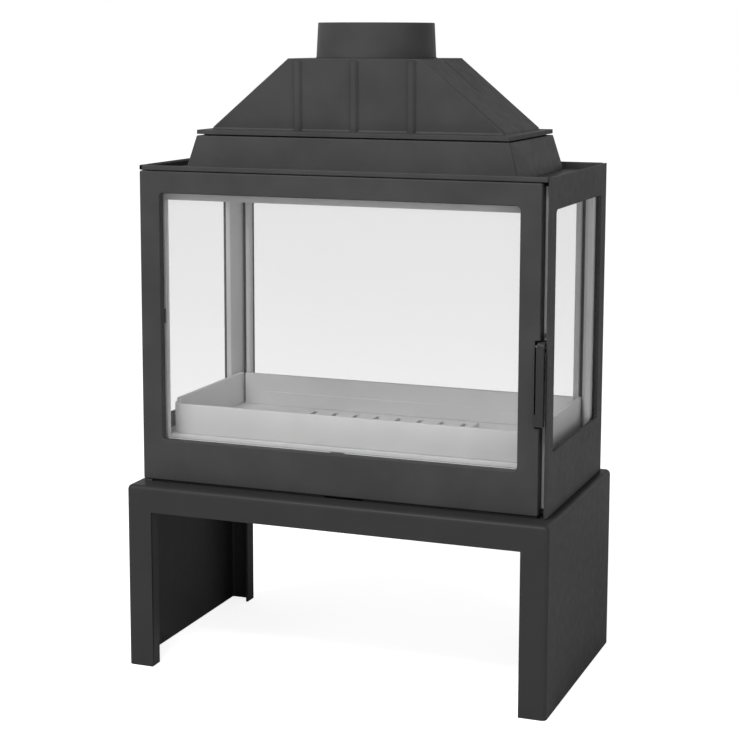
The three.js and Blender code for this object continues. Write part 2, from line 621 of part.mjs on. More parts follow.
function buildDoor() {
  buildDoorFrame();
  const paneFront = PANE_SEAT + 2;
  addPiece('door_glass', grownBox(DOOR_PANE, 0, paneFront, paneFront + SHEET), PANE);
  addPiece('door_glass_tape', ringPlate(DOOR_PANE, PLATE, PANE_SEAT + GAP, paneFront - GAP), ROPE);
  const rope = { x0: GASKET.x0 + GAP, x1: GASKET.x1 - GAP, z0: GASKET.z0 + GAP, z1: GASKET.z1 - GAP };
  addPiece('door_rope_gasket', ringPlate(rope, GASKET.width - 2 * GAP,
    doorBack - GASKET.depth + GAP, frontFrameFace - GAP), ROPE);
  buildClips();
  addPiece('hinge_pin_upper',
    rod('z', DOOR.top - PIN_DEPTH, BODY_TOP, HINGE.x, HINGE.y, HINGE.pin), FASTENER);
  addPiece('hinge_pin_lower',
    rod('z', plinthBottom, DOOR.bottom + PIN_DEPTH, HINGE.x, HINGE.y, HINGE.pin), FASTENER);
}

const KEEPER = { y: BODY_FRONT + 15.5, z: HANDLE_PIVOT.z + 10.3, radius: 2.5 };
const NOSE = { x0: 339.3, front: BODY_FRONT + 18.4, back: BODY_FRONT + 21.6 };
const LATCH_GAP = 0.6;

function buildHandle() {
  const { x0, x1, front, back, z0, z1 } = HANDLE;
  const { y, z, radius } = HANDLE_PIVOT;
  const grip = box(x0, x1, front, back, z0, z);
  const thumb = box(x0 - THUMB.step, x1, front, back, z0, z0 + THUMB.height);
  const knuckle = rod('x', x0, x1, y, z, z1 - z, 24);
  const shoulder = box(x0, x1, front, y, z - 8, z);
  const arm = box(NOSE.x0, x1, y, NOSE.back, z - 5, z + 2);
  const nose = box(NOSE.x0, x1, NOSE.front, NOSE.back, z - 5, KEEPER.z - KEEPER.radius - LATCH_GAP);
  const pivotHole = rod('x', x0 - 1, x1 + 1, y, z, radius + GAP);
  addPiece('handle_lever', cut(join(grip, thumb, knuckle, shoulder, arm, nose), pivotHole), STEEL);
  addPiece('handle_pin', rod('x', PIVOT_INNER + 1, x1 + 0.4, y, z, radius, 16), FASTENER);
  addPiece('latch_keeper', rod('x', NOSE.x0 - GAP, BODY_HALF_WIDTH - PLATE - GAP, KEEPER.y, KEEPER.z,
    KEEPER.radius, 16), FASTENER);
}

// ---------------------------------------------------------------- hearth, grate, guards, ash pan

const PAN_SHEET = 2;
const PAN_RIM_REACH = 8;
const panRimTop = HEARTH_TOP + GAP + PAN_SHEET;
const grateBottom = panRimTop + GAP;
const GRATE_THICKNESS = 8;
const GRATE_SLOT = { width: 8, pitch: 39.5, margin: 13.7 };
const MIDDLE_BAR = { y0: -2, y1: 12 };

// A rectangle in plan, grown on all sides from the ash pan's outline.
function panBox(amount, z0, z1) {
  return box(-PAN_HALF_WIDTH - amount, PAN_HALF_WIDTH + amount, PAN_FRONT - amount,
    PAN_REAR + amount, z0, z1);
}

function buildHearth() {
  const clearance = 2;
  addPiece('hearth_plate', cut(
    box(-barOuter + GAP, barOuter - GAP, baseFront + 0.8, 169, HEARTH_TOP - CASTING, HEARTH_TOP),
    panBox(clearance, HEARTH_TOP - CASTING - 1, HEARTH_TOP + 1),
  ), INNER_IRON);
}

function buildGrate() {
  const top = grateBottom + GRATE_THICKNESS;
  const halfWidth = PAN_HALF_WIDTH + PAN_RIM_REACH;
  const { width, pitch, margin } = GRATE_SLOT;
  const slots = [];
  for (let x = -halfWidth + margin; x <= halfWidth - margin - width; x += pitch) {
    slots.push(box(x, x + width, PAN_FRONT + 8, MIDDLE_BAR.y0, grateBottom - 1, top + 1));
    slots.push(box(x, x + width, MIDDLE_BAR.y1, PAN_REAR - 8, grateBottom - 1, top + 1));
  }
  addPiece('grate', cut(panBox(PAN_RIM_REACH, grateBottom, top), ...slots), INNER_IRON);
}

function buildAshPan() {
  const bottom = baseFloor + 8;
  const body = panBox(0, bottom, panRimTop);
  const rim = panBox(PAN_RIM_REACH, HEARTH_TOP + GAP, panRimTop);
  const inside = panBox(-PAN_SHEET, bottom + PAN_SHEET, panRimTop + 1);
  addPiece('ash_pan', cut(join(body, rim), inside), STEEL);
}

function buildGuards() {
  const half = GUARD_HALF_WIDTH;
  const bendY = GUARD_FRONT + GUARD_BEND;
  const bendX = half - GUARD_BEND;
  const innerBend = GUARD_BEND - GUARD_THICKNESS;
  const bend = new THREE.Shape();
  bend.moveTo(half, bendY);
  bend.absarc(bendX, bendY, GUARD_BEND, 0, -Math.PI / 2, true);
  bend.absarc(-bendX, bendY, GUARD_BEND, -Math.PI / 2, -Math.PI, true);
  bend.lineTo(-half + GUARD_THICKNESS, bendY);
  bend.absarc(-bendX, bendY, innerBend, -Math.PI, -Math.PI / 2, false);
  bend.absarc(bendX, bendY, innerBend, -Math.PI / 2, 0, false);
  addPiece('front_log_guard', plate('xy', bend, barBottom, FRONT_GUARD_TOP), INNER_IRON);
  for (const [name, mirror] of [['left_log_guard', -1], ['right_log_guard', 1]]) {
    const xs = ordered(mirror * half, mirror * (half - GUARD_THICKNESS));
    addPiece(name, box(...xs, bendY + GAP, GUARD_REAR, barBottom, GUARD_TOP), INNER_IRON);
  }
  const rearHalf = half - GUARD_THICKNESS - PLATE;
  const rearFront = GUARD_REAR - GUARD_THICKNESS;
  const upper = box(-rearHalf, rearHalf, rearFront, GUARD_REAR, barBottom, GUARD_TOP);
  const step = box(-rearHalf + 40, rearHalf, rearFront - 2, GUARD_REAR, barBottom, GUARD_LEDGE);
  addPiece('rear_log_guard', join(upper, step), INNER_IRON);
}

// ---------------------------------------------------------------- air slide

const SLIDE = { halfWidth: 115, front: -128.5, rear: -92.5, sheet: 2 };
const GUIDE = { halfWidth: 150, depth: 5.5, ledge: 3 };

// The slide hangs under the base plate between two guides whose thin ledges carry it; its tab
// reaches out under the door.
function buildAirSlide() {
  const top = BASE_BOTTOM - GAP;
  const bottom = top - SLIDE.sheet;
  const slide = join(
    box(-SLIDE.halfWidth, SLIDE.halfWidth, SLIDE.front, SLIDE.rear, bottom, top),
    box(AIR_TAB.x0, AIR_TAB.x1, AIR_TAB.y, SLIDE.front + 2, bottom, top),
  );
  addPiece('air_slide', cut(slide, ...airSlots(bottom - 1, top + 1)), STEEL);
  const gap = 0.5;
  const frontPost = SLIDE.front - gap - GUIDE.depth;
  const rearPost = SLIDE.rear + gap;
  const ledgeTop = bottom - GAP;
  const { halfWidth, depth, ledge } = GUIDE;
  const guideFront = join(
    box(-halfWidth, halfWidth, frontPost, frontPost + depth, plinthBottom, top),
    box(-halfWidth, halfWidth, frontPost, frontPost + depth + ledge, plinthBottom, ledgeTop),
  );
  addPiece('air_slide_guide_front', cut(guideFront,
    tabWay(frontPost - 1, frontPost + depth + ledge + 1, ledgeTop, top + 1)), STEEL);
  addPiece('air_slide_guide_rear', join(
    box(-halfWidth, halfWidth, rearPost, rearPost + depth, plinthBottom, top),
    box(-halfWidth, halfWidth, rearPost - ledge, rearPost + depth, plinthBottom, ledgeTop),
  ), STEEL);
}

buildBench();
buildBase();
buildSideFrame('left_side_frame', -1);
buildSideFrame('right_side_frame', 1);
buildRearFrame();
buildFrontFrame();
buildTopCasting();
buildPanes();
buildGlassBars('left', -1);
buildGlassBars('right', 1);
buildHood();
buildDome();
buildCollar();
buildBaffle();
buildDoor();
buildHandle();
buildHearth();
buildGrate();
buildAshPan();
buildGuards();
buildAirSlide();

export default stove;
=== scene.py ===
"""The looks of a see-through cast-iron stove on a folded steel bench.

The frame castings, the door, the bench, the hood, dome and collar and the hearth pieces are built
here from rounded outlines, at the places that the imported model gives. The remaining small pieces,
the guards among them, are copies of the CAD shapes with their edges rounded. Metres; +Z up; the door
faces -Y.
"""

import json
import math

import bmesh
import bpy
from mathutils import Matrix, Vector


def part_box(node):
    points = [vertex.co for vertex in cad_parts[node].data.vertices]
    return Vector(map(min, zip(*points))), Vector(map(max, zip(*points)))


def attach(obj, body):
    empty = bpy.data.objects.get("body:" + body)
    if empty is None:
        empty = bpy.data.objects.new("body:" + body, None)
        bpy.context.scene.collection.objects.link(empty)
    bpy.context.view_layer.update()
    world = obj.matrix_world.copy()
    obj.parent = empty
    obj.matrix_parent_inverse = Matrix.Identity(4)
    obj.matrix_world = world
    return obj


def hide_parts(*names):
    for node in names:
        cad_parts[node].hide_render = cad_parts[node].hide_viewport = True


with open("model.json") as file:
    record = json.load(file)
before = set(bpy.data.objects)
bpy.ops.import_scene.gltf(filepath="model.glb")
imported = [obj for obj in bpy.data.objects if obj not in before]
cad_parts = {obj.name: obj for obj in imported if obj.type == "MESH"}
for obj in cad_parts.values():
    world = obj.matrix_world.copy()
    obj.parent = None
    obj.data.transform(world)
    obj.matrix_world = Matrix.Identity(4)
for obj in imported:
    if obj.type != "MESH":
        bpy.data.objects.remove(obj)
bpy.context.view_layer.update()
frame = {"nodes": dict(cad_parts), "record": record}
nodes = frame["nodes"]
MM = 0.001

# ------------------------------------------------------------------ camera

CAMERA_PLACE = (1.0726, -2.8291, 1.0533)
CAMERA_TURN = 20.922
CAMERA_DOWN = 8.094
CAMERA_ROLL = 0.140
CAMERA_LENS = 88.777
CAMERA_SHIFT = -0.1003


def make_camera():
    data = bpy.data.cameras.new("camera")
    data.sensor_width = 36
    data.lens = CAMERA_LENS
    data.shift_y = CAMERA_SHIFT
    data.clip_end = 50
    camera = bpy.data.objects.new("camera", data)
    camera.location = CAMERA_PLACE
    camera.rotation_mode = "XYZ"
    tilt = math.radians(90 - CAMERA_DOWN)
    camera.rotation_euler = (tilt, 0, math.radians(CAMERA_TURN))
    bpy.context.scene.collection.objects.link(camera)
    bpy.context.view_layer.update()
    camera.rotation_euler.rotate_axis("Z", math.radians(CAMERA_ROLL))
    bpy.context.scene.camera = camera


# ------------------------------------------------------------------ materials


def new_material(name):
    material = bpy.data.materials.new(name)
    material.use_nodes = True
    return material, material.node_tree.nodes, material.node_tree.links


def noise(nodes_, links, scale, detail, place):
    texture = nodes_.new("ShaderNodeTexNoise")
    texture.inputs["Scale"].default_value = scale
    texture.inputs["Detail"].default_value = detail
    links.new(place, texture.inputs["Vector"])
    return texture.outputs["Fac"]


def ramp(nodes_, links, value, low, high, colour_low, colour_high):
    band = nodes_.new("ShaderNodeValToRGB")
    band.color_ramp.elements[0].position = low
    band.color_ramp.elements[1].position = high
    band.color_ramp.elements[0].color = colour_low
    band.color_ramp.elements[1].color = colour_high
    links.new(value, band.inputs["Fac"])
    return band.outputs["Color"]


def grey(value):
    return (value, value, value, 1)


def bump(nodes_, links, height, distance):
    node = nodes_.new("ShaderNodeBump")
    node.inputs["Strength"].default_value = 1
    node.inputs["Distance"].default_value = distance
    links.new(height, node.inputs["Height"])
    return node


MOTTLE_BAND = (0.3, 0.7)


def mottled_coat(name, colour, rough, grain, swell, metallic, specular):
    """A matt coat with a fine sand grain, a slow swell of the surface and a faint mottle."""
    material, nodes_, links = new_material(name)
    shader = nodes_["Principled BSDF"]
    shader.inputs["Metallic"].default_value = metallic
    shader.inputs["Specular IOR Level"].default_value = specular
    place = nodes_.new("ShaderNodeTexCoord").outputs["Object"]
    for socket, scale, detail, (low, high) in (("Base Color", 14, 6, colour),
                                               ("Roughness", 60, 4, rough)):
        texture = noise(nodes_, links, scale, detail, place)
        band = ramp(nodes_, links, texture, *MOTTLE_BAND, grey(low), grey(high))
        links.new(band, shader.inputs[socket])
    fine = bump(nodes_, links, noise(nodes_, links, 1400, 3, place), grain)
    wide = bump(nodes_, links, noise(nodes_, links, 22, 2, place), swell)
    links.new(fine.outputs["Normal"], wide.inputs["Normal"])
    links.new(wide.outputs["Normal"], shader.inputs["Normal"])
    return material


def make_glass():
    """Clear glass ceramic: nearly all see-through, a faint grey tint, a sharp reflection."""
    material, nodes_, _ = new_material("pane_glass")
    shader = nodes_["Principled BSDF"]
    shader.inputs["Base Color"].default_value = grey(0.30)
    shader.inputs["Roughness"].default_value = 0.02
    shader.inputs["Alpha"].default_value = 0.10
    return material


def make_rope():
    """Glass-fibre rope: slanting ridges."""
    material, nodes_, links = new_material("rope_seal")
    shader = nodes_["Principled BSDF"]
    shader.inputs["Roughness"].default_value = 0.95
    place = nodes_.new("ShaderNodeTexCoord").outputs["Object"]
    wave = nodes_.new("ShaderNodeTexWave")
    wave.bands_direction = "DIAGONAL"
    wave.inputs["Scale"].default_value = 160
    wave.inputs["Distortion"].default_value = 1.5
    links.new(place, wave.inputs["Vector"])
    links.new(ramp(nodes_, links, wave.outputs["Fac"], 0.2, 0.8, grey(0.02), grey(0.06)),
              shader.inputs["Base Color"])
    ridges = bump(nodes_, links, wave.outputs["Fac"], 0.6 * MM)
    links.new(ridges.outputs["Normal"], shader.inputs["Normal"])
    return material


# Each coat: colour from dark to light, roughness from low to high, then depths of the bumps.
COATS = {
    "cast_black": ((0.052, 0.064), (0.42, 0.50), 0.08 * MM, 0.10 * MM, 0, 0.12),
    "sheet_black": ((0.038, 0.042), (0.36, 0.42), 0.03 * MM, 0.03 * MM, 0, 0.12),
    "cast_grey": ((0.72, 0.78), (0.60, 0.75), 0.08 * MM, 0.10 * MM, 0, 0.2),
    "steel_fastener": ((0.2, 0.3), (0.35, 0.5), 0.03 * MM, 0, 0.8, 0.4),
}
FINISH = {name: mottled_coat(name, *coat) for name, coat in COATS.items()}
FINISH["pane_glass"] = make_glass()
FINISH["rope_seal"] = make_rope()
SLOT_OF = {row["node"]: row["material_slot"] for row in frame["record"]["subparts"]}
BODY_OF = {}
for body, members in frame["record"]["behaviour"]["bodies"].items():
    for member in members:
        BODY_OF[member] = body
made = set()


# ------------------------------------------------------------------ shape helpers


def finish_piece(piece, node):
    """Gives a piece its material, body and slot from the CAD node that it replaces."""
    slot = SLOT_OF[node]
    piece.data.materials.clear()
    piece.data.materials.append(FINISH[slot])
    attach(piece, BODY_OF[node])
    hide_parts(node)
    made.add(node)


def new_piece(name, bm):
    mesh = bpy.data.meshes.new(name)
    bmesh.ops.recalc_face_normals(bm, faces=bm.faces)
    bm.to_mesh(mesh)
    bm.free()
    piece = bpy.data.objects.new(name, mesh)
    bpy.context.scene.collection.objects.link(piece)
    return piece


AXES = {
    "xy": lambda u, v, d: Vector((u, v, d)),
    "xz": lambda u, v, d: Vector((u, d, v)),
    "yz": lambda u, v, d: Vector((d, u, v)),
}
CORNER_STEPS = 6
LEAST_RADIUS = 0.02 * MM


def rounded_outline(u0, u1, v0, v1, radius):
    """The points of a rectangle with round corners, the same number whatever its size."""
    radius = max(radius, LEAST_RADIUS)
    corners = [(u1 - radius, v0 + radius, -90), (u1 - radius, v1 - radius, 0),
               (u0 + radius, v1 - radius, 90), (u0 + radius, v0 + radius, 180)]
    points = []
    for u, v, start in corners:
        for step in range(CORNER_STEPS + 1):
            angle = math.radians(start + 90 * step / CORNER_STEPS)
            points.append((u + radius * math.cos(angle), v + radius * math.sin(angle)))
    return points


def skin(bm, rings, closed):
    """Joins rings of the same number of points; closed also joins the last ring to the first."""
    pairs = list(zip(rings, rings[1:]))
    if closed:
        pairs.append((rings[-1], rings[0]))
    for lower, upper in pairs:
        for i in range(len(lower)):
            j = (i + 1) % len(lower)
            bm.faces.new((lower[i], lower[j], upper[j], upper[i]))


def loft(bm, plane, loops, capped=False):
    """A closed skin through rounded rectangles. Each loop is (u0, u1, v0, v1, radius, depth)."""
    rings = []
    for u0, u1, v0, v1, radius, depth in loops:
        points = rounded_outline(u0, u1, v0, v1, radius)
        rings.append([bm.verts.new(AXES[plane](u, v, depth)) for u, v in points])
    skin(bm, rings, not capped)
    if capped:
        bm.faces.new(rings[0])
        bm.faces.new(rings[-1])


def grown(area, amount):
    u0, u1, v0, v1 = area
    return (u0 - amount, u1 + amount, v0 - amount, v1 + amount)


ROUND_STEPS = 4


def round_over(area, radius, face, inward, soft, shrink, rising):
    """Loops of a quarter-round between a side wall and a face.

    Inward is the depth direction away from the face, shrink is 1 for an outer edge and -1 for a
    window's edge, and a rising round runs from the wall to the face.
    """
    loops = []
    steps = range(ROUND_STEPS + 1) if rising else range(ROUND_STEPS, -1, -1)
    for step in steps:
        angle = math.radians(90 * step / ROUND_STEPS)
        move = soft * (1 - math.cos(angle)) * shrink
        depth = face + inward * soft * (1 - math.sin(angle))
        loops.append((*grown(area, -move), max(radius - move, 0), depth))
    return loops


def window_ring(bm, plane, outer, window, front, back, soft,
                corner=0.5 * MM, window_corner=7 * MM, slant=0.0):
    """A flat casting round a window, with its front edges rounded over."""
    inward = 1 if back > front else -1
    loops = [(*grown(outer, -slant), corner, back)]
    loops += round_over(outer, corner + soft, front, inward, soft, 1, True)
    loops += round_over(window, window_corner, front, inward, soft, -1, False)
    loops.append((*window, window_corner, back))
    loft(bm, plane, loops)


def plain_ring(bm, plane, outer, inner, low, high, corner=1 * MM):
    loft(bm, plane, [(*outer, corner, low), (*outer, corner, high),
                     (*inner, corner, high), (*inner, corner, low)])


BEVEL_STEPS = 3


def block(bm, low, high, soft=0.0):
    """A box with all its edges rounded."""
    size = Vector(high) - Vector(low)
    place = Matrix.Translation((Vector(high) + Vector(low)) / 2) @ Matrix.Diagonal((*size, 1))
    made_box = bmesh.ops.create_cube(bm, size=1, matrix=place)
    if soft > 0:
        edges = {edge for vert in made_box["verts"] for edge in vert.link_edges}
        bmesh.ops.bevel(bm, geom=list(edges), offset=soft, segments=BEVEL_STEPS, profile=0.5,
                        affect="EDGES", clamp_overlap=True)


def shade(piece, angle=30):
    """Smooth shading that breaks at sharp edges, with flat faces kept flat."""
    bm = bmesh.new()
    bm.from_mesh(piece.data)
    for face in bm.faces:
        face.smooth = True
    for edge in bm.edges:
        edge.smooth = len(edge.link_faces) == 2 and edge.calc_face_angle(0) < math.radians(angle)
    bm.to_mesh(piece.data)
    bm.free()
    weigh = piece.modifiers.new("flat_faces", "WEIGHTED_NORMAL")
    weigh.keep_sharp = True


def carve(piece, tools, operation="DIFFERENCE"):
    """Cuts the tools out of the piece, or keeps what they share, and throws the tools away."""
    for tool in tools:
        change = piece.modifiers.new("carve", "BOOLEAN")
        change.operation = operation
        change.solver = "EXACT"
        change.object = tool
    graph = bpy.context.evaluated_depsgraph_get()
    mesh = bpy.data.meshes.new_from_object(piece.evaluated_get(graph))
    piece.modifiers.clear()
    piece.data = mesh
    for tool in tools:
        bpy.data.objects.remove(tool)


def tool_block(low, high):
    bm = bmesh.new()
    block(bm, low, high)
    return new_piece("tool", bm)


SHARP_ANGLE = math.radians(28)


def soften(piece, width):
    """Rounds every sharp edge and smooths the shading in between."""
    for polygon in piece.data.polygons:
        polygon.use_smooth = True
    bevel = piece.modifiers.new("round_edges", "BEVEL")
    bevel.width = width
    bevel.segments = BEVEL_STEPS
    bevel.limit_method = "ANGLE"
    bevel.angle_limit = SHARP_ANGLE
    bevel.harden_normals = True
    bevel.use_clamp_overlap = True
    bevel.miter_outer = "MITER_ARC"


WELD = 0.01 * MM
FLAT_ANGLE = math.radians(0.5)


def rounded_copy(node, width):
    """The CAD node's own shape with its flat faces merged and its edges rounded."""
    bm = bmesh.new()
    bm.from_mesh(nodes[node].data)
    bmesh.ops.remove_doubles(bm, verts=bm.verts, dist=WELD)
    bmesh.ops.dissolve_limit(bm, angle_limit=FLAT_ANGLE, verts=bm.verts, edges=bm.edges)
    piece = new_piece(node + "_look", bm)
    soften(piece, width)
    finish_piece(piece, node)


def finish_hand_made(node, bm, angle=30):
    """Turns a finished mesh into the visible piece of a node."""
    piece = new_piece(node + "_look", bm)
    shade(piece, angle)
    finish_piece(piece, node)


def area_of(node, plane):
    """The node's box as (u0, u1, v0, v1) in a plane, and its two depths."""
    low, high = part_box(node)
    u, v, d = {"xy": (0, 1, 2), "xz": (0, 2, 1), "yz": (1, 2, 0)}[plane]
    return (low[u], high[u], low[v], high[v]), low[d], high[d]


def centred(half_x, half_y, middle):
    """A rectangle (x0, x1, y0, y1) round x = 0 and y = middle."""
    return (-half_x, half_x, middle - half_y, middle + half_y)


def middle_of(node):
    low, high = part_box(node)
    return (low.y + high.y) / 2


# ------------------------------------------------------------------ castings

PANE_LAP = 5 * MM
POCKET_GAP = 0.3 * MM
RIM_WIDTH = 3.6 * MM
RIM_CORNER = 3 * MM
CAST_PLATE = 5 * MM
CAST_EDGE = 1.6 * MM
PLATE_SLANT = 3 * MM
WINDOW_CORNER = 7 * MM


def glazed_frame(node, pane, plane, outside):
    """A side or rear casting: a plate with a window, and a rim round the pane's pocket inside."""
    outer, low, high = area_of(node, plane)
    front, sign = (high, -1) if outside > 0 else (low, 1)
    pane_area, _, _ = area_of(pane, plane)
    window = grown(pane_area, -PANE_LAP)
    bm = bmesh.new()
    inner = front + sign * CAST_PLATE
    window_ring(bm, plane, outer, window, front, inner, CAST_EDGE, window_corner=WINDOW_CORNER,
                slant=PLATE_SLANT)
    plain_ring(bm, plane, grown(pane_area, RIM_WIDTH), grown(pane_area, POCKET_GAP),
               inner - sign * MM, inner + sign * CAST_PLATE, RIM_CORNER)
    finish_hand_made(node, bm)


DOOR_EDGE = 2.2 * MM
CLIP_SEAT = 6.5 * MM
CLIP_DEPTH = 3 * MM
SEAT_DEPTH = 9.5 * MM
GROOVE = 8 * MM
GROOVE_DEPTH = 5 * MM
NOTCH_DEPTH = 16 * MM
NOTCH_BESIDE = 1.5 * MM
NOTCH_BELOW = 3.5 * MM
NOTCH_ABOVE = 2.8 * MM


def make_door():
    """The door casting: a thick ring with its pane seat, clip seat, rope groove and handle notch."""
    outer, front, back = area_of("door_frame", "xz")
    pane, _, _ = area_of("door_glass", "xz")
    rope, _, _ = area_of("door_rope_gasket", "xz")
    bm = bmesh.new()
    window_ring(bm, "xz", outer, grown(pane, -PANE_LAP), front, back, DOOR_EDGE,
                window_corner=WINDOW_CORNER)
    door = new_piece("door_frame_look", bm)
    past = back + MM
    tools = []
    for margin, depth in ((POCKET_GAP, SEAT_DEPTH), (CLIP_SEAT, CLIP_DEPTH)):
        x0, x1, z0, z1 = grown(pane, margin)
        tools.append(tool_block((x0, back - depth, z0), (x1, past, z1)))
    bm = bmesh.new()
    groove = grown(rope, POCKET_GAP)
    plain_ring(bm, "xz", groove, grown(groove, -GROOVE), back - GROOVE_DEPTH, past, RIM_CORNER)
    tools.append(new_piece("tool", bm))
    low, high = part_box("handle_lever")
    tools.append(tool_block((low.x - NOTCH_BESIDE, front - MM, low.z - NOTCH_BELOW),
                            (outer[1] + MM, front + NOTCH_DEPTH, high.z + NOTCH_ABOVE)))
    carve(door, tools)
    shade(door)
    finish_piece(door, "door_frame")


FRONT_OPENING = (-314 * MM, 314 * MM, 381.3 * MM, 785 * MM)
FRONT_RING_HALF_WIDTH = 334 * MM
FRONT_FLANGE = 2.9 * MM
FRONT_EDGE = 2 * MM
FRONT_RING_START = 2 * MM
NOSE_SLOT_BESIDE = 7 * MM
NOSE_SLOT_BELOW = 36 * MM
NOSE_SLOT_ABOVE = 10 * MM


def make_front_frame():
    """The inner front frame: a thin flange with a slot for the lever's nose, and a deep ring."""
    outer, front, back = area_of("front_frame", "xz")
    ring = (-FRONT_RING_HALF_WIDTH, FRONT_RING_HALF_WIDTH, outer[2], outer[3])
    bm = bmesh.new()
    plain_ring(bm, "xz", outer, FRONT_OPENING, front, front + FRONT_FLANGE)
    piece = new_piece("front_frame_look", bm)
    lever, lever_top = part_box("handle_lever")
    slot_low = (lever.x + NOSE_SLOT_BESIDE, front - MM, lever_top.z - NOSE_SLOT_BELOW)
    slot_high = (outer[1] - POCKET_GAP, back + MM, lever_top.z + NOSE_SLOT_ABOVE)
    carve(piece, [tool_block(slot_low, slot_high)])
    bm = bmesh.new()
    bm.from_mesh(piece.data)
    window_ring(bm, "xz", ring, FRONT_OPENING, back, front + FRONT_RING_START, FRONT_EDGE,
                window_corner=FRONT_EDGE)
    bm.to_mesh(piece.data)
    bm.free()
    shade(piece)
    finish_piece(piece, "front_frame")


TOP_SIDE_GAP = 5.5 * MM
TOP_RIM = 8.3 * MM
TOP_STEP = 22.5 * MM
TOP_LEDGE = 3 * MM
SMOKE_HOLE = (255 * MM, 98 * MM)


def make_top_casting():
    """The gutter plate round the smoke hole, with its front and rear upstands."""
    low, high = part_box("top_casting")
    side = -low.x - TOP_SIDE_GAP
    middle = middle_of("hood_base")
    floor_top = low.z + CAST_PLATE
    rim_bottom = high.z - TOP_RIM
    ledge = rim_bottom + TOP_LEDGE
    step = low.y + TOP_STEP
    bm = bmesh.new()
    plain_ring(bm, "xy", (-side, side, step, high.y),
               centred(*SMOKE_HOLE, middle), low.z, floor_top)
    block(bm, (-side, step, low.z), (side, step + CAST_PLATE, ledge), MM)
    block(bm, (-side, low.y + 2 * MM, rim_bottom), (side, step + CAST_PLATE, ledge), MM)
    block(bm, (low.x, low.y, rim_bottom), (side, low.y + CAST_PLATE, high.z), CAST_EDGE)
    block(bm, (low.x, low.y, rim_bottom), (-side + MM, step + 1.5 * MM, high.z), CAST_EDGE)
    block(bm, (-side, high.y - CAST_PLATE, low.z), (side, high.y, high.z), CAST_EDGE)
    finish_hand_made("top_casting", bm)


# ------------------------------------------------------------------ hood, dome and collar

HIP = 2.5 * MM
HOOD_SLOPE = (16.6 * MM, 7.2 * MM)
HOOD_WALL = 6 * MM
HOOD_ROOF = 4 * MM
HOOD_HOLE = (250 * MM, 98 * MM)
HOOD_EDGE = 1.5 * MM


def make_hood():
    """The sloped hood base: a hollow ring with softened hips."""
    low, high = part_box("hood_base")
    middle = middle_of("hood_base")
    foot = (high.x, (high.y - low.y) / 2)
    foot_area = centred(*foot, middle)
    head_area = centred(foot[0] - HOOD_SLOPE[0], foot[1] - HOOD_SLOPE[1], middle)
    hole = centred(*HOOD_HOLE, middle)
    under_roof = high.z - HOOD_ROOF
    loops = [(*foot_area, HIP, low.z)]
    loops += round_over(head_area, HIP, high.z, -1, HOOD_EDGE, 1, True)
    loops += [(*hole, MM, high.z), (*hole, MM, under_roof),
              (*grown(head_area, -HOOD_WALL), MM, under_roof),
              (*grown(foot_area, -HOOD_WALL), MM, low.z)]
    bm = bmesh.new()
    loft(bm, "xy", loops)
    finish_hand_made("hood_base", bm)


DOME_FOOT = (252.6 * MM, 101 * MM)
DOME_HEAD = (116.7 * MM, 102 * MM)
RIB_SPACING = 98 * MM
RIB_FLANK = ((9.5, -1.5), (8, 0.4), (4.4, 4.4), (3, 5))
RIB_SECTION = [(-aside, proud) for aside, proud in RIB_FLANK] + list(reversed(RIB_FLANK))
RIB_END = 4 * MM
DOME_FLANGE = 7 * MM
DOME_FLANGE_CORNER = 2 * MM
DOME_FILLET = 4 * MM
DOME_WALL = 9 * MM
DOME_ROOF = 6 * MM
MOUTH_RADIUS = 91 * MM
SEAT_RADIUS = 100.5 * MM
SEAT_HEIGHT = 1.5 * MM


def dome_rib(bm, middle, out, offset, foot, head):
    """A cast rib with sloped flanks. Foot and head are (distance of the face, height)."""
    ends = []
    for distance, height in (foot, head):
        ring = []
        for aside, proud in RIB_SECTION:
            reach = out * (distance + proud * MM)
            across = Vector((out.y, -out.x)) * (offset + aside * MM)
            ring.append(bm.verts.new((reach.x + across.x, middle + reach.y + across.y, height)))
        ends.append(ring)
    bm.faces.new(ends[0])
    bm.faces.new(ends[1])
    skin(bm, ends, False)


